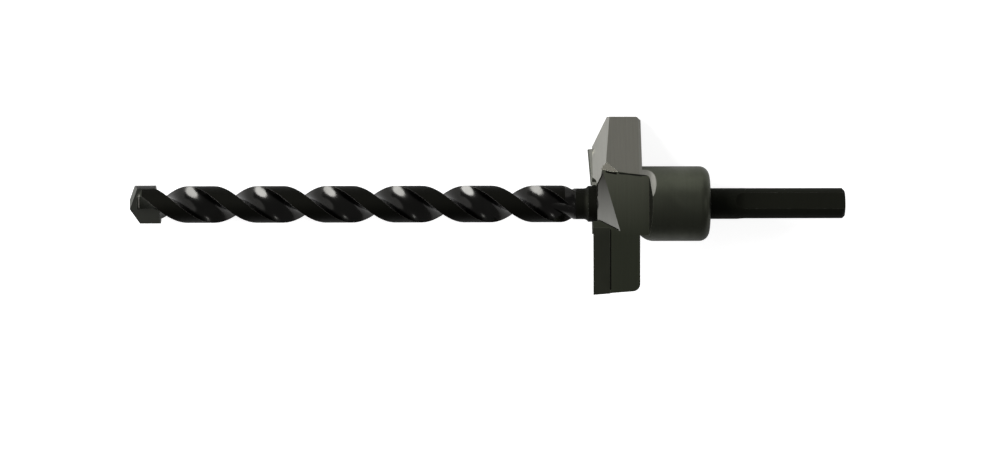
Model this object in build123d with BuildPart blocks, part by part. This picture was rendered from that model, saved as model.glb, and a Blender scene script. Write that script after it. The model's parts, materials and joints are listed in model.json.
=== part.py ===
from build123d import *
import os
from math import asin, atan, atan2, cos, hypot, radians, sin, sqrt, tan

# Counterbore bit: a carbide-tipped twist drill that guides a two-wing cutter head, held on its shank
# by a set screw. Sizes are in millimetres and degrees. A station runs along the tool from the drill's
# point, a side runs across it towards the inner wing, and a height rises from its axis to its face.

# Pilot drill
drill_length = 250.0
drill_diameter = 12.9
bar_diameter = 16.0
flute_lead = 48.4
land_angle = 68.0
web_thickness = 4.8
first_land_station = 12.85
last_stretch = 139.0
run_out_start = 141.0
run_out_end = 155.4
run_out_root_diameter = 3.4
land_end = 156.0
land_end_diameter = 10.4
land_taper_length = 5.0
neck_length = 3.4
shoulder_diameter = 12.6
shoulder_flare_length = 1.6
seat_diameter = 11.2
seat_overrun = 0.3
shank_diameter = 10.8
grip_diameter = 10.76
shank_end_chamfer = 0.9
nose_station = 2.8
nose_diameter = 8.6
nose_chamfer = 2.0

# Three flats that a chuck grips
chuck_flat_length = 35.0
chuck_flat_depth = 0.85
chuck_flat_run_out = 3.2
chuck_flat_turn = 78.0

# Carbide tip plate, brazed in a slot across the drill's end
tip_diameter = 13.5
tip_thickness = 3.2
tip_length = 10.0
tip_turn = 22.0
tip_skew = 5.5
tip_point_angle = 128.0
tip_relief = 20.0
tip_gash_gap = 1.2
tip_gash_radius = 2.2

# Cutter head
collar_diameter = 26.2
collar_rear_radius = 3.5
head_front = 162.0
head_length = 40.7
face_height = 7.0
face_length = 19.4
face_wall_draft = 10.0
face_corner_radius = 1.2
wing_length = 16.3
bore_clearance = 0.03
spot_face_diameter = 18.6
spot_face_depth = 1.5

# Outer wing: a plate with the insert that cuts the full diameter
cutting_diameter = 65.0
outer_wing_thickness = 5.5
outer_wing_corner_radius = 2.6
outer_wing_taper = 4.4
outer_wing_relief = 14.0
outer_wing_root = 10.6
outer_insert_width = 5.9
outer_insert_thickness = 3.0
outer_insert_start = 8.4
outer_insert_proud = 0.15
gullet_slope = 54.6
gullet_reach = 21.6

# Inner wing: a wedge with the short insert that cuts the middle
inner_wing_diameter = 63.0
inner_wing_length = 17.1
inner_wing_chamfer = 1.35
back_angle = 33.0
back_tilt = 4.4
back_distance = 11.3
back_cove_start = 17.0
back_cove_radius = 5.9
flank_setback = 5.75
flank_side_slope = 0.495
flank_height_slope = 0.6
hub_setback = 0.8
hub_slope = 0.195
inner_insert_width = 5.9
inner_insert_thickness = 1.8
inner_insert_start = 6.5
inner_insert_end = 19.2
inner_insert_lead = 1.6
inner_insert_angle = 5.0
root_groove_width = 0.4
root_groove_depth = 0.5
notch_end = 8.6
notch_side = 10.75
notch_width = 2.6
notch_slope = 0.44
notch_turn = 11.0

# Gash that opens the face beside the drill's shoulder
gash_end = 9.4
gash_side = 9.6
gash_slope = 0.2
gash_skew = 16.1
gash_wall_angle = 27.6

# Set screw
screw_diameter = 8.0
screw_length = 8.0
screw_setback = 10.6
screw_clearance = 0.05
screw_socket = 4.0
screw_socket_depth = 4.2
screw_chamfer = 0.8
screw_seat_length = 10.0
screw_seat_depth = 0.8

drill_radius = drill_diameter / 2
web_radius = web_thickness / 2
shank_radius = shank_diameter / 2
grip_radius = grip_diameter / 2
seat_radius = seat_diameter / 2
shoulder_radius = shoulder_diameter / 2
collar_radius = collar_diameter / 2
head_rear = head_front + head_length
wing_rear = head_front + wing_length
inner_wing_rear = head_front + inner_wing_length
face_end = head_front + face_length
shoulder_end = head_front + spot_face_depth
flat_start = drill_length - chuck_flat_length
screw_station = head_rear - screw_setback
outer_wing_reach = sqrt((cutting_diameter / 2) ** 2 - face_height**2)
inner_wing_reach = sqrt((inner_wing_diameter / 2) ** 2 - face_height**2)
cut_room = collar_diameter

# The tool lies on the drill's first land, the collar's front edge and the inner wing's corner. Its
# axis rises towards the collar, and it rolls until that corner touches the ground.
land_rest = first_land_station - flute_lead * land_angle / 2 / 360
rise = atan((collar_radius - drill_radius) / (face_end - land_rest))
corner_station = head_front - flank_setback + flank_side_slope * inner_wing_reach
corner_station -= flank_height_slope * face_height
corner_drop = drill_radius + tan(rise) * (corner_station - land_rest)
roll = atan2(face_height, inner_wing_reach) - asin(corner_drop / hypot(inner_wing_reach, face_height))
outer_edge = outer_wing_reach * cos(roll) + (face_height - outer_wing_thickness) * sin(roll)
inner_edge = inner_wing_reach * cos(roll) + face_height * sin(roll)
tool = Plane(
    origin=(
        -drill_length / 2 * cos(rise),
        (outer_edge - inner_edge) / 2,
        drill_radius * cos(rise) - land_rest * sin(rise),
    ),
    x_dir=(cos(rise), 0, sin(rise)),
    z_dir=(-sin(rise) * cos(roll), -sin(roll), cos(rise) * cos(roll)),
)
tool_axis = Axis(tool.origin, tool.x_dir)


def spot(station, side=0.0, height=0.0):
    """The point at a station, a side and a height."""
    return tool.from_local_coords(Vector(station, side, height))


def way(station, side, height):
    """The direction with these three parts."""
    return spot(station, side, height) - tool.origin


def across(station, turn=0.0):
    """The plane square to the axis at a station, its X towards the inner wing turned to the face."""
    return Plane(spot(station), x_dir=way(0, cos(radians(turn)), sin(radians(turn))), z_dir=way(1, 0, 0))


def along(turn):
    """The plane through the axis whose X runs along it and whose Y points outwards at the turn."""
    return Plane(tool.origin, x_dir=way(1, 0, 0), z_dir=way(0, -sin(radians(turn)), cos(radians(turn))))


def level(height):
    """The plane beside the axis at a height, its X along the tool and its Y towards the inner wing."""
    return Plane(spot(0, 0, height), x_dir=way(1, 0, 0), z_dir=way(0, 0, 1))


def upright(side):
    """The plane beside the axis at a side, its X along the tool and its Y towards the face."""
    return Plane(spot(0, side, 0), x_dir=way(1, 0, 0), z_dir=way(0, -1, 0))


def rim(angle, radius):
    """A point of a cross-section, by its angle and its radius."""
    return (radius * cos(radians(angle)), radius * sin(radians(angle)))


# Carbide tip plate: the slot's plane holds the plate's width, and each lip falls back from its edge
slot = along(tip_turn).rotated((0, 0, tip_skew))
lip_slope = 1 / tan(radians(tip_point_angle / 2))
relief_slope = tan(radians(tip_relief))

with BuildPart() as carbide_tip:
    with BuildSketch(slot):
        Rectangle(tip_length, drill_diameter + tip_diameter, align=(Align.MIN, Align.CENTER))
    extrude(amount=tip_thickness / 2, both=True)
    # Its ends are ground round with the drill
    with BuildSketch(across(-tip_length)):
        Circle(tip_diameter / 2)
    extrude(amount=3 * tip_length, mode=Mode.INTERSECT)
    for half in (1, -1):
        lip_normal = slot.from_local_coords(Vector(1, -half * lip_slope, -half * relief_slope)) - slot.origin
        split(bisect_by=Plane(slot.origin, z_dir=lip_normal), keep=Keep.TOP)
carbide_tip.part.label = "carbide_tip"

# Pilot drill: two hollow flutes wound around a web, in a bar that is turned to the lands' diameter
land_edge = rim(land_angle / 2, drill_radius)
flute_depth = land_edge[1] - web_radius
flute_radius = (land_edge[0] ** 2 + flute_depth**2) / (2 * flute_depth)
start_turn = 90 - 360 * first_land_station / flute_lead

with BuildPart() as pilot_drill:
    for start, end in ((0, last_stretch), (last_stretch, land_end)):
        with BuildSketch(across(start, start_turn + 360 * start / flute_lead)):
            Circle(bar_diameter / 2)
            with PolarLocations(web_radius + flute_radius, 2, start_angle=90):
                Circle(flute_radius, mode=Mode.SUBTRACT)
        path = Line(spot(start), spot(end), mode=Mode.PRIVATE)
        winding = Helix(
            flute_lead,
            end - start,
            drill_diameter,
            center=spot(start),
            direction=tool.x_dir,
            mode=Mode.PRIVATE,
        )
        sweep(path=path, binormal=winding)
    # The outside: a chamfered nose behind the carbide, the lands, and their taper to the shank
    with BuildSketch(along(0)):
        with BuildLine():
            taper_start = (land_end - land_taper_length, drill_radius)
            taper_end = (land_end, land_end_diameter / 2)
            TangentArc(taper_start, taper_end, tangent=(1, 0))
            Polyline(
                taper_end,
                (land_end, 0),
                (nose_station, 0),
                (nose_station, nose_diameter / 2),
                (nose_station + nose_chamfer, drill_radius),
                taper_start,
            )
        make_face()
    revolve(axis=tool_axis, mode=Mode.INTERSECT)
    # The run-out, the neck, the shoulder that the head seats on, and the shank. Its gripped end is ground
    # a touch smaller, so that the head still slides over it once jaws have marked it
    with BuildSketch(along(0)):
        with BuildLine():
            run_out_root = (run_out_start, run_out_root_diameter / 2)
            neck_end = run_out_end + neck_length
            flare_end = neck_end + shoulder_flare_length
            Polyline((run_out_end, shank_radius), (neck_end, shank_radius))
            TangentArc((neck_end, shank_radius), (flare_end, shoulder_radius), tangent=(1, 0))
            Polyline(
                (flare_end, shoulder_radius),
                (shoulder_end, shoulder_radius),
                (shoulder_end, seat_radius),
                (head_rear + seat_overrun, seat_radius),
                (head_rear + seat_overrun, shank_radius),
                (flat_start, shank_radius),
                (flat_start, grip_radius),
                (drill_length - shank_end_chamfer, grip_radius),
                (drill_length, grip_radius - shank_end_chamfer),
                (drill_length, 0),
                (run_out_start, 0),
                run_out_root,
            )
            TangentArc(run_out_root, (run_out_end, shank_radius), tangent=(1, 0))
        make_face()
    revolve(axis=tool_axis)
    # Three flats, each with the milling cutter's rounded run-out
    for turn in (chuck_flat_turn, chuck_flat_turn + 120, chuck_flat_turn + 240):
        with BuildSketch(along(turn)):
            with BuildLine():
                flat_radius = shank_radius - chuck_flat_depth
                flat_lip = (flat_start - chuck_flat_run_out, shank_radius)
                TangentArc((flat_start, flat_radius), flat_lip, tangent=(-1, 0))
                Polyline(
                    flat_lip,
                    (flat_lip[0], cut_room),
                    (drill_length + cut_room, cut_room),
                    (drill_length + cut_room, flat_radius),
                    (flat_start, flat_radius),
                )
            make_face()
        extrude(amount=shank_diameter, both=True, mode=Mode.SUBTRACT)
    # The seat of the set screw
    with BuildSketch(along(-90)):
        with Locations((screw_station, seat_radius - screw_seat_depth)):
            Rectangle(screw_seat_length, seat_radius, align=(Align.CENTER, Align.MIN))
    extrude(amount=shank_diameter, both=True, mode=Mode.SUBTRACT)
    # The slot for the carbide tip, and the gashes that bare its two faces
    with BuildSketch(slot):
        with Locations((tip_length, 0)):
            Rectangle(cut_room, 2 * drill_diameter, align=(Align.MAX, Align.CENTER))
    extrude(amount=tip_thickness / 2, both=True, mode=Mode.SUBTRACT)
    for half in (1, -1):
        with BuildSketch(slot.offset(half * tip_thickness / 2)):
            with Locations((tip_length, -half * tip_gash_gap)):
                RectangleRounded(
                    cut_room,
                    cut_room,
                    tip_gash_radius,
                    align=(Align.MAX, Align.MAX if half > 0 else Align.MIN),
                )
        extrude(amount=half * drill_radius, mode=Mode.SUBTRACT)
pilot_drill.part.label = "pilot_drill"

# The cutter that leaves the inner wing's sloping back: a flat floor that curves up into the collar. It
# is drawn in the plane square to the slope, whose X runs backwards along the floor
back_rise = radians(back_angle)
back_fall = tan(radians(back_tilt))
back_section = Plane(
    spot(head_front + back_cove_start, 0, back_distance / cos(back_rise)),
    x_dir=way(1, -back_fall * sin(back_rise), -back_fall * cos(back_rise)),
    z_dir=way(0, -cos(back_rise), sin(back_rise)),
)

with BuildPart() as back_cutter:
    with BuildSketch(back_section):
        with BuildLine():
            cove_top = (back_cove_radius, back_cove_radius)
            TangentArc((0, 0), cove_top, tangent=(1, 0))
            Polyline(
                cove_top,
                (back_cove_radius, cut_room),
                (-cut_room, cut_room),
                (-cut_room, 0),
                (0, 0),
            )
        make_face()
    extrude(amount=2 * cut_room, both=True)


# The cutter that leaves the inner wing's flank, and stops short of the hub beside it
flank = Plane(
    spot(head_front - flank_setback), z_dir=way(-1, flank_side_slope, flank_height_slope)
)
notch_reach = notch_side + notch_width

with BuildPart() as flank_cutter:
    with BuildSketch(flank):
        Rectangle(4 * cut_room, 4 * cut_room)
    extrude(amount=cut_room)
    with BuildSketch(level(0)):
        hub_front = head_front + hub_setback
        with BuildLine():
            Polyline(
                (hub_front - hub_slope * cut_room, -cut_room),
                (hub_front + hub_slope * notch_reach, notch_reach),
                (hub_front + cut_room, notch_reach),
                (hub_front + cut_room, -cut_room),
                close=True,
            )
        make_face()
    extrude(amount=cut_room, mode=Mode.SUBTRACT)


# The cutter that leaves the clearance behind the outer lip, through the wing and its insert
with BuildPart() as lip_cutter:
    with BuildSketch(upright(-outer_insert_start)):
        fall = outer_wing_thickness * tan(radians(outer_wing_relief))
        with BuildLine():
            Polyline(
                (head_front, face_height),
                (head_front + fall, face_height - outer_wing_thickness),
                (head_front - fall, face_height - outer_wing_thickness),
                (head_front - fall, face_height),
                close=True,
            )
        make_face()
    extrude(amount=cutting_diameter)

# The inner insert's rectangle, turned about its outer front corner
with BuildSketch(level(-face_height)) as inner_insert_outline:
    with Locations((head_front - inner_insert_lead, inner_insert_end)):
        Rectangle(
            inner_insert_width,
            (inner_insert_end - inner_insert_start) / cos(radians(inner_insert_angle)),
            rotation=inner_insert_angle,
            align=(Align.MIN, Align.MAX),
        )

# Cutter head: a turned collar with two milled faces and two wings, bored for the drill's shank
with BuildPart() as cutter_head:
    with BuildSketch(along(0)):
        with BuildLine():
            rear_flat = (head_rear, collar_radius - collar_rear_radius)
            rear_round = (head_rear - collar_rear_radius, collar_radius)
            Polyline(rear_round, (head_front, collar_radius), (head_front, 0), (head_rear, 0), rear_flat)
            TangentArc(rear_flat, rear_round, tangent=(0, 1))
        make_face()
    revolve(axis=tool_axis)
    # The gullet behind the outer wing's root
    with BuildSketch(upright(-outer_wing_root)):
        gullet_fall = (gullet_reach - wing_length) * tan(radians(gullet_slope))
        with BuildLine():
            Polyline(
                (head_front - cut_room, face_height),
                (wing_rear, face_height),
                (head_front + gullet_reach, face_height - gullet_fall),
                (head_front + gullet_reach, -cut_room),
                (head_front - cut_room, -cut_room),
                close=True,
            )
        make_face()
    extrude(amount=cut_room, mode=Mode.SUBTRACT)
    # The two wings
    with BuildSketch(level(face_height)) as outer_outline:
        body_reach = outer_wing_reach - outer_insert_proud
        rear_corner = (wing_rear, wing_length * tan(radians(outer_wing_taper)) - body_reach)
        with BuildLine():
            Polyline(
                (head_front, -outer_insert_start),
                (head_front, -body_reach),
                rear_corner,
                (wing_rear, -outer_insert_start),
                close=True,
            )
        make_face()
        fillet(
            outer_outline.vertices().sort_by_distance((*rear_corner, 0))[0],
            radius=outer_wing_corner_radius,
        )
    extrude(amount=-outer_wing_thickness)
    with BuildSketch(level(-face_height)):
        with BuildLine():
            Polyline(
                (head_front, inner_insert_start),
                (head_front, inner_wing_reach),
                (inner_wing_rear - inner_wing_chamfer, inner_wing_reach),
                (inner_wing_rear, inner_wing_reach - inner_wing_chamfer),
                (inner_wing_rear, inner_insert_start),
                close=True,
            )
        make_face()
    extrude(amount=2 * face_height)
    # The flat face, its far side's twin, and the sloping back of the inner wing
    face_edge = [
        (back_distance - fall_here - face_height * cos(back_rise)) / sin(back_rise)
        for fall_here in (
            (face_length - back_cove_start) * back_fall,
            -back_cove_start * back_fall,
        )
    ]
    with BuildSketch(level(face_height)) as face_outline:
        with BuildLine():
            Polyline(
                (face_end, -cut_room),
                (face_end, face_edge[0]),
                (head_front, face_edge[1]),
                (head_front - face_length, face_edge[1]),
                (head_front - face_length, -cut_room),
                close=True,
            )
        make_face()
        fillet(
            face_outline.vertices().sort_by_distance((face_end, face_edge[0], 0))[0],
            radius=face_corner_radius,
        )
    extrude(amount=cut_room, taper=-face_wall_draft, mode=Mode.SUBTRACT)
    with BuildSketch(level(-face_height)):
        with Locations((face_end, 0)):
            Rectangle(2 * face_length, 2 * cut_room, align=(Align.MAX, Align.CENTER))
    extrude(amount=-cut_room, mode=Mode.SUBTRACT)
    add(back_cutter.part, mode=Mode.SUBTRACT)
    # The inner wing's flank, and the relief behind the outer lip
    add(flank_cutter.part, mode=Mode.SUBTRACT)
    add(lip_cutter.part, mode=Mode.SUBTRACT)
    # The groove at the foot of the sloping back
    with BuildSketch(level(face_height)):
        with BuildLine():
            Polyline(
                (head_front, face_edge[1]),
                (face_end - 2 * face_corner_radius, face_edge[0]),
                (face_end - 2 * face_corner_radius, face_edge[0] - root_groove_width),
                (head_front, face_edge[1] - root_groove_width),
                close=True,
            )
        make_face()
    extrude(amount=-root_groove_depth, mode=Mode.SUBTRACT)
    # The gash that opens the face beside the drill's shoulder
    skew = tan(radians(gash_skew))
    wall = radians(gash_wall_angle)
    gash = Plane(
        spot(head_front + gash_end, -gash_side, face_height),
        x_dir=way(-cos(wall), sin(wall), gash_slope * (skew * sin(wall) - cos(wall))),
        z_dir=way(-gash_slope, -gash_slope * skew, 1),
    )
    with BuildSketch(gash):
        Rectangle(cut_room, cut_room, align=(Align.MIN, Align.MAX))
    extrude(amount=cut_room, mode=Mode.SUBTRACT)
    # The notch that runs down to the flank beside the groove's front end
    notch = Plane(
        spot(head_front + notch_end, notch_side, face_height),
        x_dir=way(-1, tan(radians(notch_turn)), -notch_slope),
        z_dir=way(-notch_slope, 0, 1),
    )
    with BuildSketch(notch):
        Rectangle(cut_room, notch_width, align=(Align.MIN, Align.MAX))
    extrude(amount=face_height, mode=Mode.SUBTRACT)
    # The bore, the spot face for the drill's shoulder, the screw's hole and the inserts' pockets
    with BuildSketch(across(head_front - spot_face_depth)):
        Circle(seat_radius + bore_clearance)
    extrude(amount=head_length + 2 * spot_face_depth, mode=Mode.SUBTRACT)
    with BuildSketch(across(head_front - spot_face_depth)):
        Circle(spot_face_diameter / 2)
    extrude(amount=2 * spot_face_depth, mode=Mode.SUBTRACT)
    with BuildSketch(Plane(spot(screw_station), z_dir=way(0, 0, -1))):
        Circle(screw_diameter / 2 + screw_clearance)
    extrude(amount=cut_room, mode=Mode.SUBTRACT)
    with BuildSketch(level(face_height)):
        with Locations((head_front, -outer_insert_start)):
            Rectangle(outer_insert_width, cutting_diameter, align=(Align.MIN, Align.MAX))
    extrude(amount=-outer_insert_thickness, mode=Mode.SUBTRACT)
    extrude(inner_insert_outline.sketch, amount=inner_insert_thickness, mode=Mode.SUBTRACT)
cutter_head.part.label = "cutter_head"

# Brazed inserts
with BuildPart() as outer_insert:
    with BuildSketch(level(face_height)):
        insert_rear = head_front + outer_insert_width
        with BuildLine():
            Polyline(
                (head_front, -outer_insert_start),
                (head_front, -outer_wing_reach),
                (insert_rear, outer_insert_width * tan(radians(outer_wing_taper)) - outer_wing_reach),
                (insert_rear, -outer_insert_start),
                close=True,
            )
        make_face()
    extrude(amount=-outer_insert_thickness)
    add(lip_cutter.part, mode=Mode.SUBTRACT)
outer_insert.part.label = "outer_insert"

with BuildPart() as inner_insert:
    extrude(inner_insert_outline.sketch, amount=inner_insert_thickness)
    lip_turn = radians(inner_insert_angle)
    lip_plane = Plane(
        spot(head_front - inner_insert_lead, inner_insert_end, -face_height),
        z_dir=way(cos(lip_turn), sin(lip_turn), -tan(radians(outer_wing_relief))),
    )
    split(bisect_by=lip_plane, keep=Keep.TOP)
inner_insert.part.label = "inner_insert"

# Set screw: flat foot on the shank's seat, socket outwards
with BuildPart() as set_screw:
    screw_foot = Plane(
        spot(screw_station, 0, screw_seat_depth - seat_radius), x_dir=way(1, 0, 0), z_dir=way(0, 0, -1)
    )
    with BuildSketch(screw_foot):
        Circle(screw_diameter / 2)
    extrude(amount=screw_length)
    chamfer(set_screw.edges().filter_by(GeomType.CIRCLE), length=screw_chamfer)
    with BuildSketch(screw_foot.offset(screw_length)):
        RegularPolygon(screw_socket / 2, 6, major_radius=False)
    extrude(amount=-screw_socket_depth, mode=Mode.SUBTRACT)
set_screw.part.label = "set_screw"

os.makedirs("parts", exist_ok=True)
export_step(pilot_drill.part, "parts/pilot_drill.step")
export_step(carbide_tip.part, "parts/carbide_tip.step")
export_step(cutter_head.part, "parts/cutter_head.step")
export_step(outer_insert.part, "parts/outer_insert.step")
export_step(inner_insert.part, "parts/inner_insert.step")
export_step(set_screw.part, "parts/set_screw.step")
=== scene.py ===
"""Looks of a counterbore bit: a carbide-tipped twist drill that carries a two-wing cutter head."""

import json
import logging
import math
from abc import ABC, abstractmethod
from dataclasses import asdict, dataclass
from enum import Enum

import bpy
from mathutils import Matrix, Vector


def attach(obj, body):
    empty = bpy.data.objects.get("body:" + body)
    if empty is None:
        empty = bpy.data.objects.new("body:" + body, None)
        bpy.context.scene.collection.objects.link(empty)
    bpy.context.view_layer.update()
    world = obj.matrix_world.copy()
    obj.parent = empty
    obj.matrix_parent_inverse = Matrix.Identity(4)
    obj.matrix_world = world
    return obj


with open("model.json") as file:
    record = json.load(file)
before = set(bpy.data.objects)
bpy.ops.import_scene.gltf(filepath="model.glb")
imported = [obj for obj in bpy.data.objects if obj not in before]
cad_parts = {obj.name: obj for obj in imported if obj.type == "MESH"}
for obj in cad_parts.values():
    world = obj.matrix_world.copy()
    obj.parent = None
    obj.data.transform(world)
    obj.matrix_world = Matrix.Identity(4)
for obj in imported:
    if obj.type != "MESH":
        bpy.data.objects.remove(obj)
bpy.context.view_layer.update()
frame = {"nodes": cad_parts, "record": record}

ROOT = "root"
MM = 0.001

log = logging.getLogger("counterbore_bit")

Triple = tuple[float, float, float]
Source = float | Triple | bpy.types.NodeSocket

ORIGIN: Triple = (0.0, 0.0, 0.0)
UPWARD: Triple = (0.0, 0.0, 1.0)


@dataclass(frozen=True)
class ToolAxes:
    """The tool's own axes, in which its sizes are written in millimetres.

    A station runs from the drill's point along the axis, a side towards the inner wing, and a height
    towards the face of the cutter head.
    """

    roll: float = math.radians(-10.6524)
    shank_station: float = 226.05

    @staticmethod
    def shank() -> dict[str, object]:
        """Return the record's mount on the shank."""
        return next(mount for mount in frame["record"]["mounts"] if mount["name"] == "shank")

    def along(self) -> Vector:
        """Return the axis's direction, from the record's shank."""
        return Vector(self.shank()["axis"]).normalized()

    def origin(self) -> Vector:
        """Return the drill's point in metres."""
        return Vector(self.shank()["pos_m"]) - self.along() * self.shank_station * MM

    def matrix(self) -> Matrix:
        """Return the matrix that takes tool sizes in metres to the row frame.

        Returns:
            A 4x4 matrix whose columns are the station, side and height directions and the origin.
        """
        along = self.along()
        level = Vector((0, 0, 1)).cross(along).normalized()
        upright = along.cross(level)
        side = level * math.cos(self.roll) + upright * math.sin(self.roll)
        height = along.cross(side)
        turn = Matrix((along, side, height)).transposed().to_4x4()
        return Matrix.Translation(self.origin()) @ turn

    def point(self, station: float, side: float = 0.0, height: float = 0.0) -> Vector:
        """Return a point of the tool in metres.

        Args:
            station: Distance along the axis from the point, in millimetres.
            side: Distance towards the inner wing, in millimetres.
            height: Distance towards the face, in millimetres.

        Returns:
            The point in the row frame.
        """
        return self.matrix() @ Vector((station * MM, side * MM, height * MM))


AXES = ToolAxes()


class Streaks(Enum):
    """Which way a tool left its marks."""

    RINGS = "rings"
    SIDEWAYS = "sideways"
    LENGTHWISE = "lengthwise"


class Socket(Enum):
    """What a socket of a shared group carries."""

    NUMBER = "NodeSocketFloat"
    VECTOR = "NodeSocketVector"


def grey(level: float) -> Triple:
    """Return a grey of one level.

    Args:
        level: The level of all three colours.

    Returns:
        The colour.
    """
    return (level, level, level)


@dataclass(frozen=True)
class Wiring:
    """One node tree, with ways to add nodes to it.

    A source is a number, a triple or another node's output. An output is linked to the input that it
    feeds, and a number or a triple is set as the input's own value.
    """

    tree: bpy.types.NodeTree

    def feed(self, socket: bpy.types.NodeSocket, source: Source) -> None:
        """Feed one input.

        Args:
            socket: The input.
            source: What it is fed with.
        """
        if isinstance(source, bpy.types.NodeSocket):
            self.tree.links.new(source, socket)
        elif socket.type == "RGBA":
            socket.default_value = (*source, 1.0)
        else:
            socket.default_value = source

    def fill(self, node: bpy.types.Node, *sources: Source, **named: Source) -> bpy.types.Node:
        """Feed a node's inputs.

        Args:
            node: The node.
            *sources: A source for each input in order.
            **named: A source for each named input, such as from_min for From Min.

        Returns:
            The same node.
        """
        for socket, source in zip(node.inputs, sources):
            self.feed(socket, source)
        for name, source in named.items():
            self.feed(node.inputs[name.replace("_", " ").title()], source)
        return node

    def add(self, kind: str, **named: Source) -> bpy.types.Node:
        """Add a node.

        Args:
            kind: The node's type.
            **named: A source for each named input.

        Returns:
            The new node.
        """
        return self.fill(self.tree.nodes.new(kind), **named)

    def place(self, group: bpy.types.NodeTree, **named: Source) -> bpy.types.Node:
        """Add a shared group.

        Args:
            group: The shared group.
            **named: A source for each named input.

        Returns:
            The new group node.
        """
        node = self.add("ShaderNodeGroup")
        node.node_tree = group
        return self.fill(node, **named)

    def number(self, operation: str, *sources: Source) -> bpy.types.NodeSocket:
        """Add a Math node.

        Args:
            operation: The node's operation.
            *sources: A source for each input.

        Returns:
            The resulting number.
        """
        node = self.add("ShaderNodeMath")
        node.operation = operation
        return self.fill(node, *sources).outputs["Value"]

    def vector(self, operation: str, *sources: Source) -> bpy.types.NodeSocket:
        """Add a Vector Math node.

        Args:
            operation: The node's operation.
            *sources: A source for each input.

        Returns:
            The resulting number where the operation is a length or a dot product, else the vector.
        """
        node = self.add("ShaderNodeVectorMath")
        node.operation = operation
        result = "Value" if operation in ("LENGTH", "DOT_PRODUCT") else "Vector"
        return self.fill(node, *sources).outputs[result]

    def noise(self, point: Source, **named: Source) -> bpy.types.NodeSocket:
        """Add a Noise Texture node.

        Args:
            point: Where the noise is read.
            **named: A source for each other named input.

        Returns:
            The noise, from 0 to 1.
        """
        return self.add("ShaderNodeTexNoise", vector=point, **named).outputs["Fac"]

    def ranged(self, value: Source, **limits: float) -> bpy.types.NodeSocket:
        """Add a Map Range node.

        Args:
            value: The value to map.
            **limits: The limits that are not the usual 0 and 1, such as from_min.

        Returns:
            The mapped value.
        """
        return self.add("ShaderNodeMapRange", value=value, **limits).outputs["Result"]

    def mixed(
        self, factor: Source, first: Source, second: Source, way: str = "MIX"
    ) -> bpy.types.NodeSocket:
        """Mix two colours.

        Args:
            factor: How far the second colour comes in, from 0 to 1.
            first: The first colour.
            second: The second colour.
            way: How they are blended.

        Returns:
            The mixed colour.
        """
        node = self.add("ShaderNodeMix", factor=factor)
        node.data_type = "RGBA"
        node.blend_type = way
        inputs = [socket for socket in node.inputs if socket.type == "RGBA"]
        for socket, colour in zip(inputs, (first, second)):
            self.feed(socket, colour)
        return next(socket for socket in node.outputs if socket.type == "RGBA")


class GroupWiring(Wiring):
    """The wiring inside a shared group."""

    @classmethod
    def new(
        cls, name: str, inputs: dict[str, float | Triple], outputs: dict[str, Socket]
    ) -> "GroupWiring":
        """Start a group.

        Args:
            name: The group's name.
            inputs: A default value for each input.
            outputs: What each output carries.

        Returns:
            The wiring inside the group.
        """
        tree = bpy.data.node_groups.new(name, "ShaderNodeTree")
        for label, value in inputs.items():
            kind = Socket.VECTOR if isinstance(value, tuple) else Socket.NUMBER
            socket = tree.interface.new_socket(name=label, in_out="INPUT", socket_type=kind.value)
            socket.default_value = value
        for label, kind in outputs.items():
            tree.interface.new_socket(name=label, in_out="OUTPUT", socket_type=kind.value)
        tree.nodes.new("NodeGroupInput").name = "In"
        tree.nodes.new("NodeGroupOutput").name = "Out"
        return cls(tree)

    def given(self, label: str) -> bpy.types.NodeSocket:
        """Return what comes in by one of the group's inputs.

        Args:
            label: The input's name.

        Returns:
            The socket inside the group.
        """
        return self.tree.nodes["In"].outputs[label]

    def give(self, **named: Source) -> bpy.types.NodeTree:
        """Finish the group.

        Args:
            **named: A source for each output.

        Returns:
            The group's node tree.
        """
        self.fill(self.tree.nodes["Out"], **named)
        return self.tree

    def between(self, value: bpy.types.NodeSocket, low: str, high: str) -> bpy.types.NodeSocket:
        """Test that a value lies between two of the group's inputs.

        Args:
            value: The value.
            low: The name of the input that holds the lower limit.
            high: The name of the input that holds the upper limit.

        Returns:
            1 between the limits and 0 outside them.
        """
        above = self.number("GREATER_THAN", value, self.given(low))
        below = self.number("LESS_THAN", value, self.given(high))
        return self.number("MULTIPLY", above, below)

    def near(self, value: bpy.types.NodeSocket, target: str, slack: float) -> bpy.types.NodeSocket:
        """Test that a value is near one of the group's inputs.

        Args:
            value: The value.
            target: The name of the input that holds the target.
            slack: How far off the target still counts as near.

        Returns:
            1 near the target and 0 elsewhere.
        """
        gap = self.number("SUBTRACT", value, self.given(target))
        return self.number("LESS_THAN", self.number("ABSOLUTE", gap), slack)


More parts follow.
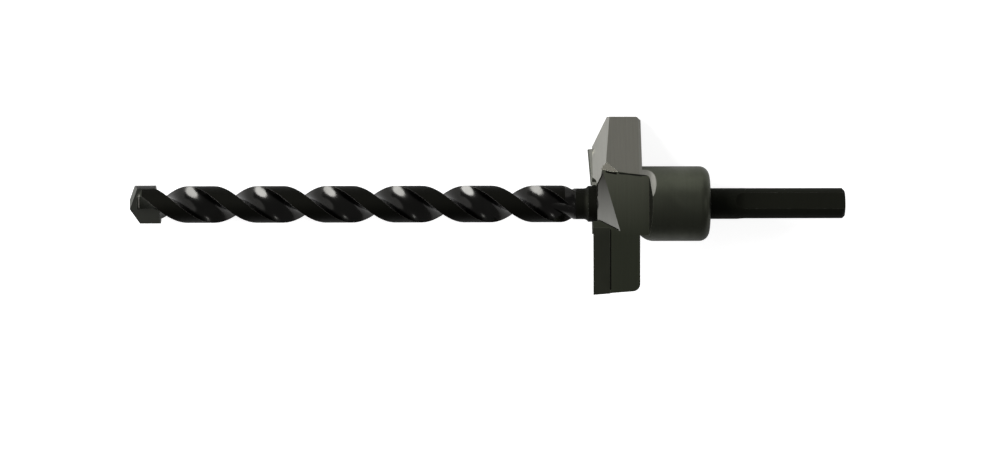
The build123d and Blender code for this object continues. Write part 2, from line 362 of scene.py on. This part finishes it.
class Groups:
    """Shader node groups that more than one finish uses.

    `aligned` is how straight a surface has to face along a facet's normal to belong to it, and `slack`
    how many millimetres it may lie off a facet or a cove. `coarse` is the scale of the broad cutting
    marks beside the fine ones. An edge is rubbed where its rounded normal leans by more than `wear_start`,
    and on the drill that rubbed colour also stands as a painted glint along the land edges. Noise raises
    the threshold by up to `wear_patch`, and `wear_gain` is how fast it then sets in.
    """

    aligned: float = 0.99
    slack: float = 0.08
    coarse: float = 0.25
    wear_start: float = 0.02
    wear_patch: float = 0.12
    wear_gain: float = 14.0

    def __init__(self) -> None:
        """Make the groups once."""
        self.tool_space = self._tool_space()
        self.marks = self._marks()
        self.edge_wear_and_glint = self._edge_wear_and_glint()
        self.smudges = self._smudges()
        self.facet = self._facet()
        self.shell = self._shell()
        self.cove = self._cove()

    @staticmethod
    def _tool_space() -> bpy.types.NodeTree:
        """Make the group that gives a surface point and its outward direction in tool sizes."""
        inside = GroupWiring.new("tool_space", {}, {"Point": Socket.VECTOR, "Facing": Socket.VECTOR})
        surface = inside.add("ShaderNodeTexCoord").outputs
        inverse = AXES.matrix().inverted()
        turn = tuple(inverse.to_euler("XYZ"))
        point = inside.add(
            "ShaderNodeMapping",
            vector=surface["Object"],
            location=tuple(inverse.translation / MM),
            rotation=turn,
            scale=(1 / MM, 1 / MM, 1 / MM),
        )
        facing = inside.add("ShaderNodeMapping", vector=surface["Normal"], rotation=turn)
        facing.vector_type = "VECTOR"
        return inside.give(point=point.outputs["Vector"], facing=facing.outputs["Vector"])

    def _marks(self) -> bpy.types.NodeTree:
        """Make the group that draws fine cutting marks, stretched along the way the tool went."""
        inside = GroupWiring.new(
            "cutting_marks",
            {"Point": ORIGIN, "Spacing": (1.0, 1.0, 1.0)},
            {"Value": Socket.NUMBER},
        )
        scaled = inside.vector("MULTIPLY", inside.given("Point"), inside.given("Spacing"))
        fine = inside.noise(scaled, scale=1.0, detail=3.0)
        broad = inside.noise(scaled, scale=self.coarse, detail=2.0)
        both = inside.number("ADD", fine, broad)
        return inside.give(value=inside.number("MULTIPLY", both, 0.5))

    def _edge_wear_and_glint(self) -> bpy.types.NodeTree:
        """Make the group that finds sharp outer edges, broken up by noise."""
        inside = GroupWiring.new(
            "edge_wear_and_glint",
            {"Point": ORIGIN, "Width": 0.25, "Patches": 0.5},
            {"Mask": Socket.NUMBER},
        )
        width = inside.number("MULTIPLY", inside.given("Width"), MM)
        bevel = inside.add("ShaderNodeBevel", radius=width)
        bevel.samples = 4
        geometry = inside.add("ShaderNodeNewGeometry")
        lean = inside.vector("DOT_PRODUCT", bevel.outputs["Normal"], geometry.outputs["Normal"])
        sharp = inside.number("SUBTRACT", 1.0, lean)
        noise = inside.noise(inside.given("Point"), scale=0.7, detail=4.0)
        patch = inside.number("MULTIPLY", noise, inside.given("Patches"))
        limit = inside.number("MULTIPLY_ADD", patch, self.wear_patch, self.wear_start)
        worn = inside.number("MULTIPLY", inside.number("SUBTRACT", sharp, limit), self.wear_gain)
        return inside.give(mask=inside.add("ShaderNodeClamp", value=worn).outputs["Result"])

    @staticmethod
    def _smudges() -> bpy.types.NodeTree:
        """Make the group that clouds a surface with handling marks and oil."""
        inside = GroupWiring.new(
            "smudges",
            {"Point": ORIGIN, "Size": 12.0},
            {"Value": Socket.NUMBER},
        )
        scale = inside.number("DIVIDE", 1.0, inside.given("Size"))
        noise = inside.noise(inside.given("Point"), scale=scale, detail=5.0, distortion=0.6)
        return inside.give(value=inside.ranged(noise, from_min=0.35, from_max=0.65))

    def _facet(self) -> bpy.types.NodeTree:
        """Make the group that finds one flat facet by its plane and its direction, in tool sizes."""
        inside = GroupWiring.new(
            "facet",
            {"Point": ORIGIN, "Facing": UPWARD, "Normal": UPWARD, "Distance": 0.0},
            {"Mask": Socket.NUMBER},
        )
        normal = inside.given("Normal")
        reach = inside.vector("DOT_PRODUCT", inside.given("Point"), normal)
        near = inside.near(reach, "Distance", self.slack)
        straight = inside.vector("NORMALIZE", normal)
        lean = inside.vector("DOT_PRODUCT", straight, inside.given("Facing"))
        facing = inside.number("GREATER_THAN", lean, self.aligned)
        return inside.give(mask=inside.number("MULTIPLY", near, facing))

    @staticmethod
    def _shell() -> bpy.types.NodeTree:
        """Make the group that finds a stretch of the tool between two radii."""
        inside = GroupWiring.new(
            "shell",
            {"Point": ORIGIN, "Inner": 0.0, "Outer": 10.0, "Start": 0.0, "End": 250.0},
            {"Mask": Socket.NUMBER},
        )
        split = inside.add("ShaderNodeSeparateXYZ", vector=inside.given("Point")).outputs
        across = inside.add("ShaderNodeCombineXYZ", y=split["Y"], z=split["Z"])
        radius = inside.vector("LENGTH", across.outputs["Vector"])
        ring = inside.between(radius, "Inner", "Outer")
        stretch = inside.between(split["X"], "Start", "End")
        return inside.give(mask=inside.number("MULTIPLY", ring, stretch))

    def _cove(self) -> bpy.types.NodeTree:
        """Make the group that finds a hollow round surface by its axis and its radius."""
        inside = GroupWiring.new(
            "cove",
            {"Point": ORIGIN, "Centre": ORIGIN, "Axis": (0.0, 1.0, 0.0), "Radius": 1.0},
            {"Mask": Socket.NUMBER},
        )
        arm = inside.vector("SUBTRACT", inside.given("Point"), inside.given("Centre"))
        lever = inside.vector("CROSS_PRODUCT", arm, inside.given("Axis"))
        return inside.give(mask=inside.near(inside.vector("LENGTH", lever), "Radius", self.slack))


class Shape(ABC):
    """A shape on the tool's surface, whose fields are named as the inputs of the group that finds it."""

    @abstractmethod
    def group(self, groups: Groups) -> bpy.types.NodeTree:
        """Return the group that finds such a shape.

        Args:
            groups: The shared node groups.

        Returns:
            The group.
        """

    def find(self, nodes: Wiring, groups: Groups, space: bpy.types.Node) -> bpy.types.NodeSocket:
        """Find the shape in a material.

        Args:
            nodes: The material's wiring.
            groups: The shared node groups.
            space: The placed tool space group.

        Returns:
            1 on the shape and 0 elsewhere.
        """
        placed = nodes.place(self.group(groups), **asdict(self))
        for source in space.outputs:
            if source.name in placed.inputs:
                nodes.feed(placed.inputs[source.name], source)
        return placed.outputs["Mask"]


@dataclass(frozen=True)
class Facet(Shape):
    """A flat facet by its plane: normal . (station, side, height) = distance, in millimetres."""

    normal: Triple
    distance: float

    @classmethod
    def through(cls, normal: Triple, point: Triple) -> "Facet":
        """Return the facet that goes through a point.

        Args:
            normal: Its outward direction, of any length.
            point: The station, side and height of one of its points.

        Returns:
            The facet.
        """
        return cls(normal, sum(part * place for part, place in zip(normal, point)))

    def group(self, groups: Groups) -> bpy.types.NodeTree:
        """Return the group that finds a facet.

        Args:
            groups: The shared node groups.

        Returns:
            The group.
        """
        return groups.facet


@dataclass(frozen=True)
class Shell(Shape):
    """A stretch of the tool between two radii, in millimetres."""

    inner: float
    outer: float
    start: float
    end: float

    def group(self, groups: Groups) -> bpy.types.NodeTree:
        """Return the group that finds a stretch.

        Args:
            groups: The shared node groups.

        Returns:
            The group.
        """
        return groups.shell


@dataclass(frozen=True)
class Cove(Shape):
    """A hollow round surface by a point of its axis, the axis's direction and the radius."""

    centre: Triple
    axis: Triple
    radius: float

    def group(self, groups: Groups) -> bpy.types.NodeTree:
        """Return the group that finds a cove.

        Args:
            groups: The shared node groups.

        Returns:
            The group.
        """
        return groups.cove


@dataclass(frozen=True)
class Zone:
    """A part of a piece whose surface was made in another way, or which is painted darker or lighter as
    painted shade or a painted highlight.

    Where `low_colour` is given, the colour goes over to it towards the tool's shaded side, as painted
    shade, and on the gash as a painted highlight.
    """

    shape: Shape
    colour: Triple
    roughness: float
    low_colour: Triple | None = None


@dataclass(frozen=True)
class MetalFinish:
    """A metal surface, with the marks that making and handling left on it, and with painted shade and
    painted highlights.

    Lengths are in millimetres. `fade` is the share of the colour that is left at the shaded side, as
    painted shade, and `mark_shade` the share that is left in a cutting mark. From `lit_side` to
    `shaded_side` the painted shade and the zones' painted shaded-side colours set in. Worn edges are
    `wear_width` wide, and `wear_break` is how much noise breaks them up; on the drill they also stand as
    a painted glint.
    """

    name: str
    colour: Triple
    mottle: Triple
    worn: Triple
    roughness: float
    roughness_spread: float = 0.12
    streaks: Streaks = Streaks.RINGS
    mark_depth: float = 0.004
    mark_shade: float = 0.75
    wear_width: float = 0.22
    wear_break: float = 0.7
    smudge_size: float = 12.0
    lit_side: float = 9.0
    shaded_side: float = -11.0
    fade: float = 1.0
    zones: tuple[Zone, ...] = ()

    def spacing(self) -> Triple:
        """Return how fast the marks change along the station, the side and the height."""
        return {
            Streaks.RINGS: (7.0, 0.25, 0.25),
            Streaks.SIDEWAYS: (6.0, 0.12, 0.12),
            Streaks.LENGTHWISE: (0.15, 7.0, 7.0),
        }[self.streaks]

    def material(self, groups: Groups) -> bpy.types.Material:
        """Build the material.

        Args:
            groups: The shared node groups.

        Returns:
            The material, ready to be put in a slot.
        """
        made = bpy.data.materials.new(self.name)
        made.use_nodes = True
        nodes = Wiring(made.node_tree)
        space = nodes.place(groups.tool_space)
        point = space.outputs["Point"]
        marks = nodes.place(groups.marks, point=point, spacing=self.spacing()).outputs["Value"]
        smudges = nodes.place(groups.smudges, point=point, size=self.smudge_size).outputs["Value"]
        wear_and_glint_mask = nodes.place(groups.edge_wear_and_glint, point=point, width=self.wear_width, patches=self.wear_break)
        side = nodes.add("ShaderNodeSeparateXYZ", vector=point).outputs["Y"]
        # A ramp from the lit side to the shaded side, which sets the painted shade and the painted
        # shaded-side colours.
        painted_shading_ramp = nodes.ranged(side, from_min=self.lit_side, from_max=self.shaded_side)

        colour = nodes.mixed(smudges, self.colour, self.mottle)
        # Painted shade: the colour is multiplied darker towards the tool's shaded side.
        colour = nodes.mixed(painted_shading_ramp, colour, grey(self.fade), "MULTIPLY")
        half = self.roughness_spread / 2
        roughness = nodes.ranged(smudges, to_min=self.roughness - half, to_max=self.roughness + half)
        for zone in self.zones:
            mask = zone.shape.find(nodes, groups, space)
            shade = zone.colour
            # A zone's shaded-side colour is painted shade, and on the gash a painted highlight.
            if zone.low_colour:
                shade = nodes.mixed(painted_shading_ramp, zone.colour, zone.low_colour)
            colour = nodes.mixed(mask, colour, shade)
            blend = nodes.add("ShaderNodeMix", factor=mask, a=roughness, b=zone.roughness)
            roughness = blend.outputs["Result"]
        colour = nodes.mixed(marks, colour, grey(self.mark_shade), "MULTIPLY")
        # Sharp edges take the rubbed colour: real edge wear, and on the drill also a painted glint along
        # the land edges.
        colour = nodes.mixed(wear_and_glint_mask.outputs["Mask"], colour, self.worn)

        bump = nodes.add("ShaderNodeBump", distance=self.mark_depth * MM, height=marks)
        nodes.fill(
            made.node_tree.nodes["Principled BSDF"],
            metallic=1.0,
            base_color=colour,
            roughness=roughness,
            normal=bump.outputs["Normal"],
        )
        return made


# Stretches of the drill and its tip by radius and station, in millimetres
LAND_INNER = 6.36
LAND_OUTER = 6.5
LANDS_START = 2.0
LANDS_END = 156.0
NOSE = Shell(0.0, LAND_INNER, LANDS_START, 9.0)
LANDS = Shell(LAND_INNER, LAND_OUTER, LANDS_START, LANDS_END)
NECK = Shell(0.0, LAND_OUTER, LANDS_END, 170.0)
SHANK = Shell(0.0, LAND_OUTER, 202.0, 251.0)
TIP_RIM = Shell(6.55, 7.0, 0.0, 14.0)

DRILL_STEEL = MetalFinish(
    name="black_oxide_drill",
    colour=(0.046, 0.0455, 0.0435),
    mottle=(0.036, 0.0355, 0.0335),
    # Rubbed edge colour, width and break: partly real edge wear, partly a painted glint, the dotted
    # highlight along the land edges.
    worn=(0.16, 0.157, 0.147),
    wear_width=0.26,
    wear_break=2.2,
    roughness=0.19,
    roughness_spread=0.05,
    streaks=Streaks.RINGS,
    zones=(
        Zone(NOSE, (0.026, 0.0275, 0.022), 0.6),
        Zone(LANDS, (0.0095, 0.0095, 0.0078), 0.6),
        Zone(NECK, (0.012, 0.0125, 0.0095), 0.7),
        Zone(SHANK, (0.019, 0.02, 0.015), 0.75),
    ),
)
TIP_CARBIDE = MetalFinish(
    name="ground_carbide_tip",
    colour=(0.12, 0.125, 0.108),
    mottle=(0.1, 0.104, 0.09),
    worn=(0.2, 0.195, 0.19),
    roughness=0.4,
    streaks=Streaks.LENGTHWISE,
    # Painted shade: the rim of the tip is darker than the same carbide on its face.
    zones=(Zone(TIP_RIM, (0.045, 0.0455, 0.041), 0.4),),
)

# Faces of the cutter head and its inserts, with lengths in millimetres
HEAD_FRONT = 162.0
FACE_HEIGHT = 7.0
FACE_END = HEAD_FRONT + 19.4
WALL_DRAFT = math.radians(10.0)
FLANK_SETBACK = 5.75
FLANK_SIDE_SLOPE = 0.495
FLANK_HEIGHT_SLOPE = 0.6
NOTCH_END = HEAD_FRONT + 8.6
NOTCH_SLOPE = 0.44
GASH_END = HEAD_FRONT + 9.4
GASH_SIDE = 9.6
GASH_SLOPE = 0.2
GASH_SKEW = math.radians(16.1)
BACK_SLOPE = math.radians(33.0)
BACK_FALL = math.tan(math.radians(4.4))
BACK_DISTANCE = 11.3
BACK_HEIGHT = BACK_DISTANCE / math.cos(BACK_SLOPE)
COVE_STATION = HEAD_FRONT + 17.0
COVE_RADIUS = 5.9
INSERT_THICKNESS = 1.8

FACE = Facet(UPWARD, FACE_HEIGHT)
FLANK = Facet.through(
    (-1.0, FLANK_SIDE_SLOPE, FLANK_HEIGHT_SLOPE),
    (HEAD_FRONT - FLANK_SETBACK, 0.0, 0.0),
)
NOTCH = Facet.through((-NOTCH_SLOPE, 0.0, 1.0), (NOTCH_END, 0.0, FACE_HEIGHT))
GASH = Facet.through(
    (-GASH_SLOPE, -GASH_SLOPE * math.tan(GASH_SKEW), 1.0),
    (GASH_END, -GASH_SIDE, FACE_HEIGHT),
)
END_WALL = Facet.through(
    (-math.cos(WALL_DRAFT), 0.0, math.sin(WALL_DRAFT)),
    (FACE_END, 0.0, FACE_HEIGHT),
)
BACK = Facet.through(
    (BACK_FALL, math.sin(BACK_SLOPE), math.cos(BACK_SLOPE)),
    (COVE_STATION, 0.0, BACK_HEIGHT),
)
BACK_COVE = Cove(
    (
        COVE_STATION + COVE_RADIUS * BACK_FALL,
        COVE_RADIUS * math.sin(BACK_SLOPE),
        BACK_HEIGHT + COVE_RADIUS * math.cos(BACK_SLOPE),
    ),
    (0.0, math.cos(BACK_SLOPE), -math.sin(BACK_SLOPE)),
    COVE_RADIUS,
)
INSERT_STRIP = Facet(UPWARD, INSERT_THICKNESS - FACE_HEIGHT)

HEAD_STEEL = MetalFinish(
    name="satin_head_steel",
    colour=(0.122, 0.13, 0.098),
    mottle=(0.1, 0.107, 0.08),
    worn=(0.16, 0.165, 0.135),
    roughness=0.42,
    streaks=Streaks.SIDEWAYS,
    # Painted shade: the head's colour darkens to half towards the shaded side.
    fade=0.5,
    zones=(
        # Painted shade: the face goes over from its lit colour to a darker one towards the shaded side.
        Zone(FACE, (0.172, 0.18, 0.137), 0.42, (0.07, 0.077, 0.054)),
        Zone(FLANK, (0.37, 0.366, 0.335), 0.4),
        # Painted shade: the notch is darkened to stand in for the shade on it.
        Zone(NOTCH, (0.046, 0.044, 0.037), 0.4),
        Zone(BACK, (0.212, 0.208, 0.18), 0.42),
        # Painted shade: the cove goes over to a dark colour towards its shaded end.
        Zone(BACK_COVE, (0.235, 0.233, 0.209), 0.4, (0.05, 0.05, 0.045)),
        # Painted shade and highlight: the gash is dark, and goes over to a painted highlight towards the
        # shaded side.
        Zone(GASH, (0.075, 0.0735, 0.065), 0.42, (0.4, 0.4, 0.375)),
        # Painted shade: the end wall is nearly black to stand in for the shade on it.
        Zone(END_WALL, (0.01, 0.0105, 0.008), 0.9),
    ),
)
INSERT_CARBIDE = MetalFinish(
    name="ground_carbide_insert",
    colour=(0.1, 0.106, 0.08),
    mottle=(0.085, 0.09, 0.068),
    worn=(0.12, 0.125, 0.1),
    roughness=0.42,
    streaks=Streaks.SIDEWAYS,
    # Painted shade: the inserts' colour darkens towards the shaded side.
    fade=0.6,
    zones=(Zone(INSERT_STRIP, (0.4, 0.4, 0.36), 0.6),),
)
# Dark brazing for the outer insert's joint, also used for painted shadow lines along the notch, the face's
# step and the gash.
DARK_BRAZE_AND_PAINTED_SHADE = MetalFinish(
    name="dark_braze_and_painted_shade",
    colour=(0.01, 0.01, 0.008),
    mottle=(0.006, 0.006, 0.005),
    worn=(0.012, 0.012, 0.01),
    roughness=0.6,
    streaks=Streaks.LENGTHWISE,
)
# Bright brazing at the tip, which also stands as a painted highlight on the tip's front.
BRIGHT_BRAZE_AND_PAINTED_HIGHLIGHT = MetalFinish(
    name="bright_braze_and_painted_highlight",
    colour=(0.3, 0.29, 0.26),
    mottle=(0.2, 0.19, 0.17),
    worn=(0.4, 0.39, 0.36),
    roughness=0.35,
    streaks=Streaks.LENGTHWISE,
)
SCREW_STEEL = MetalFinish(
    name="black_screw",
    colour=(0.03, 0.03, 0.03),
    mottle=(0.02, 0.02, 0.02),
    worn=(0.15, 0.145, 0.14),
    roughness=0.4,
    streaks=Streaks.RINGS,
)


def dress(node: str, finish: MetalFinish, groups: Groups) -> None:
    """Give a frame node its finish.

    Args:
        node: The node's name.
        finish: The metal finish.
        groups: The shared node groups.
    """
    piece = frame["nodes"][node]
    piece.data.materials.clear()
    piece.data.materials.append(finish.material(groups))
    log.info("dressed %s with %s", node, finish.name)


@dataclass(frozen=True)
class Seam:
    """A thin run along a joint or an edge, with tapered ends: brazing, a painted shadow line or a painted
    highlight.

    Its sizes and points are in millimetres, in the tool's axes. `rise` is how far it stands out on each
    side of its points, and `end_scale` is the size of its ends as a share of the rest.
    """

    name: str
    points: tuple[Triple, ...]
    outward: Triple
    width: float = 0.5
    rise: float = 0.07
    end_scale: float = 0.35
    end_length: float = 0.4
    sides: int = 10
    smooth_angle: float = math.radians(40)

    def build(self, finish: MetalFinish, groups: Groups, slot: str) -> bpy.types.Object:
        """Extrude a flattened disc along the points.

        Args:
            finish: The run's finish, for brazing, painted shadow or a painted highlight.
            groups: The shared node groups.
            slot: The record's material slot; not used.

        Returns:
            The finished run, riding on the body.
        """
        points = [AXES.point(*point) for point in self.points]
        run = (points[-1] - points[0]).normalized()
        upward = AXES.matrix().to_3x3() @ Vector(self.outward)
        upward = (upward - run * upward.dot(run)).normalized()
        turn = Matrix((upward, run.cross(upward), run)).transposed()
        bpy.ops.object.select_all(action="DESELECT")
        bpy.ops.mesh.primitive_circle_add(
            vertices=self.sides,
            radius=self.width / 2 * MM * self.end_scale,
            fill_type="NGON",
            location=points[0],
            rotation=turn.to_euler(),
        )
        piece = bpy.context.object
        piece.name = self.name
        piece.scale = (2 * self.rise / self.width, 1.0, 1.0)
        bpy.ops.object.transform_apply(location=True, rotation=True, scale=True)
        bpy.ops.object.mode_set(mode="EDIT")
        bpy.ops.mesh.select_all(action="SELECT")
        tip = self.end_length * MM
        self._step((points[1] - points[0]).normalized() * tip, 1 / self.end_scale)
        for start, end in zip(points, points[1:]):
            way = end - start
            spare = tip * ((start == points[0]) + (end == points[-1]))
            self._step(way.normalized() * (way.length - spare), 1.0)
        last = (points[-1] - points[-2]).normalized()
        self._step(last * tip, self.end_scale)
        bpy.ops.mesh.select_all(action="SELECT")
        bpy.ops.mesh.normals_make_consistent(inside=False)
        bpy.ops.object.mode_set(mode="OBJECT")
        bpy.ops.object.shade_smooth_by_angle(angle=self.smooth_angle)
        piece.data.materials.append(finish.material(groups))
        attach(piece, ROOT)
        log.info("laid %s", self.name)
        return piece

    @staticmethod
    def _step(way: Vector, scale: float) -> None:
        """Extrude the selected end by a step and widen or narrow it.

        Args:
            way: The step in metres.
            scale: The new end's size as a share of the last.
        """
        bpy.ops.mesh.extrude_region_move(TRANSFORM_OT_translate={"value": way})
        if scale != 1.0:
            bpy.ops.transform.resize(value=(scale, scale, scale))


@dataclass
class PilotDrill:
    """The twist drill with its carbide tip."""

    groups: Groups
    steel: MetalFinish = DRILL_STEEL
    carbide: MetalFinish = TIP_CARBIDE
    braze: MetalFinish = BRIGHT_BRAZE_AND_PAINTED_HIGHLIGHT
    seams: tuple[Seam, ...] = (
        # The brazing line at the tip, bright as a painted highlight too.
        Seam(
            "tip_braze_and_painted_highlight",
            ((3.95, 3.5, 4.3), (3.85, 2.75, 4.86), (3.65, 1.4, 3.5), (3.55, 0.0, 2.68), (3.5, -1.3, 2.12)),
            (-0.3, -0.3, 0.9),
            0.5,
            0.1,
        ),
    )

    def build(self) -> None:
        """Dress the drill and its tip, and lay the brazing line at the tip, which is also a painted
        highlight.
        """
        dress("pilot_drill", self.steel, self.groups)
        dress("carbide_tip", self.carbide, self.groups)
        for seam in self.seams:
            seam.build(self.braze, self.groups, "drill_steel")


@dataclass
class CutterHead:
    """The collar with its two wings, its inserts and its set screw."""

    groups: Groups
    steel: MetalFinish = HEAD_STEEL
    carbide: MetalFinish = INSERT_CARBIDE
    screw: MetalFinish = SCREW_STEEL
    braze: MetalFinish = DARK_BRAZE_AND_PAINTED_SHADE
    seams: tuple[Seam, ...] = (
        Seam(
            "outer_braze",
            ((167.93, -8.9, FACE_HEIGHT), (167.93, -30.0, FACE_HEIGHT)),
            FACE.normal,
            0.55,
        ),
        # Painted shadows: dark lines where the notch's foot, the face's step and the gash's edges lie in
        # shade.
        Seam(
            "notch_painted_shadow",
            ((166.3, 11.1, FACE_HEIGHT), (170.3, 10.3, FACE_HEIGHT)),
            FACE.normal,
            0.6,
        ),
        Seam(
            "face_step_painted_shadow",
            ((170.9, 10.4, FACE_HEIGHT), (176.4, 10.05, FACE_HEIGHT), (181.0, 9.7, FACE_HEIGHT)),
            FACE.normal,
            0.34,
        ),
        Seam("gash_painted_shadow", ((163.9, -5.7, 5.73), (170.9, -9.12, 6.93)), (-0.2, -0.06, 0.98), 0.36),
        Seam(
            "gash_edge_painted_shadow",
            ((165.35, 10.5, 6.95), (163.45, 6.7, 6.37), (163.4, 2.5, 6.12)),
            (-0.3, 0.0, 0.95),
            0.42,
        ),
    )

    def build(self) -> None:
        """Dress the head, its inserts and its screw."""
        dress("cutter_head", self.steel, self.groups)
        dress("outer_insert", self.carbide, self.groups)
        dress("inner_insert", self.carbide, self.groups)
        dress("set_screw", self.screw, self.groups)
        # Lay the outer insert's brazed joint and the painted shadow lines.
        for seam in self.seams:
            seam.build(self.braze, self.groups, "head_steel")


@dataclass(frozen=True)
class Lamp:
    """A round soft lamp that faces the middle of the view.

    Its place is in millimetres along the tool's axes from the middle of the view, its size is the
    diameter in metres, and its power is in watts.
    """

    name: str
    place: Triple
    size: float
    power: float

    def build(self, centre_station: float) -> None:
        """Hang the lamp.

        Args:
            centre_station: The station in the middle of the view.
        """
        middle = AXES.point(centre_station)
        spot = AXES.point(centre_station + self.place[0], *self.place[1:])
        bpy.ops.object.light_add(type="AREA", location=spot)
        lamp = bpy.context.object
        lamp.name = self.name
        lamp.data.shape = "DISK"
        lamp.data.size = self.size
        lamp.data.energy = self.power
        lamp.rotation_mode = "QUATERNION"
        lamp.rotation_quaternion = (middle - spot).to_track_quat("-Z", "Y")
        log.info("hung the %s lamp", self.name)


@dataclass
class Studio:
    """A pale floor, soft lamps and a camera that looks square down on the tool's face.

    The view's sizes are in millimetres, and the floor's and the clip distances `near` and `far` in
    metres. `floor_seen` and `floor_mirrored` are the floor's own light to the camera and in the metal.
    """

    view_width: float = 350.0
    distance: float = 1000.0
    centre_station: float = 129.57
    centre_side: float = -7.37
    camera_roll: float = math.radians(-0.11)
    sensor: float = 36.0
    near: float = 0.01
    far: float = 20.0
    floor_size: float = 3.0
    floor_drop: float = 0.0005
    floor_grey: float = 0.55
    floor_roughness: float = 0.9
    floor_seen: float = 0.86
    floor_mirrored: float = 0.2
    world_strength: float = 0.18
    lamps: tuple[Lamp, ...] = (
        Lamp("key", (-1130.0, 290.0, 580.0), 1.0, 37.0),
        Lamp("side", (100.0, 900.0, 350.0), 1.0, 1.5),
        Lamp("glint", (830.0, 30.0, 560.0), 0.16, 0.33),
    )

    def build(self) -> None:
        """Make the floor, the world, the lamps and the camera."""
        self._floor()
        self._world()
        for lamp in self.lamps:
            lamp.build(self.centre_station)
        self._camera()
        bpy.context.scene.view_settings.view_transform = "Standard"
        log.info("studio is ready")

    def _floor(self) -> None:
        """Lay a large floor that is white to the camera and keeps the tool's shadow."""
        bpy.ops.object.select_all(action="DESELECT")
        bpy.ops.mesh.primitive_plane_add(size=self.floor_size, location=(0, 0, -self.floor_drop))
        floor = bpy.context.object
        floor.name = "floor"
        made = bpy.data.materials.new("pale_floor")
        made.use_nodes = True
        nodes = Wiring(made.node_tree)
        path = nodes.add("ShaderNodeLightPath").outputs
        mirrored = nodes.number("MULTIPLY", path["Is Glossy Ray"], self.floor_mirrored)
        light = nodes.number("MULTIPLY_ADD", path["Is Camera Ray"], self.floor_seen, mirrored)
        shader = nodes.fill(
            made.node_tree.nodes["Principled BSDF"],
            base_color=grey(self.floor_grey),
            roughness=self.floor_roughness,
            emission_color=grey(1.0),
            emission_strength=light,
        )
        shader.inputs["Specular IOR Level"].default_value = 0.0
        floor.data.materials.append(made)

    def _world(self) -> None:
        """Light the room softly and evenly."""
        world = bpy.data.worlds.new("studio")
        bpy.context.scene.world = world
        world.use_nodes = True
        Wiring(world.node_tree).fill(
            world.node_tree.nodes["Background"],
            color=grey(1.0),
            strength=self.world_strength,
        )

    def _camera(self) -> None:
        """Put the camera square above the face, with the tool's axis level in the picture."""
        data = bpy.data.cameras.new("camera")
        data.sensor_width = self.sensor
        data.lens = self.sensor * self.distance / self.view_width
        data.clip_start = self.near
        data.clip_end = self.far
        camera = bpy.data.objects.new("camera", data)
        bpy.context.collection.objects.link(camera)
        turn = AXES.matrix().to_3x3() @ Matrix.Rotation(self.camera_roll, 3, "Z")
        camera.location = AXES.point(self.centre_station, self.centre_side, self.distance)
        camera.rotation_mode = "QUATERNION"
        camera.rotation_quaternion = turn.to_quaternion()
        bpy.context.scene.camera = camera


def main() -> None:
    """Build the tool's looks and the studio, in order."""
    logging.basicConfig(level=logging.INFO)
    groups = Groups()
    PilotDrill(groups).build()
    CutterHead(groups).build()
    Studio().build()


if __name__ == "__main__":
    main()
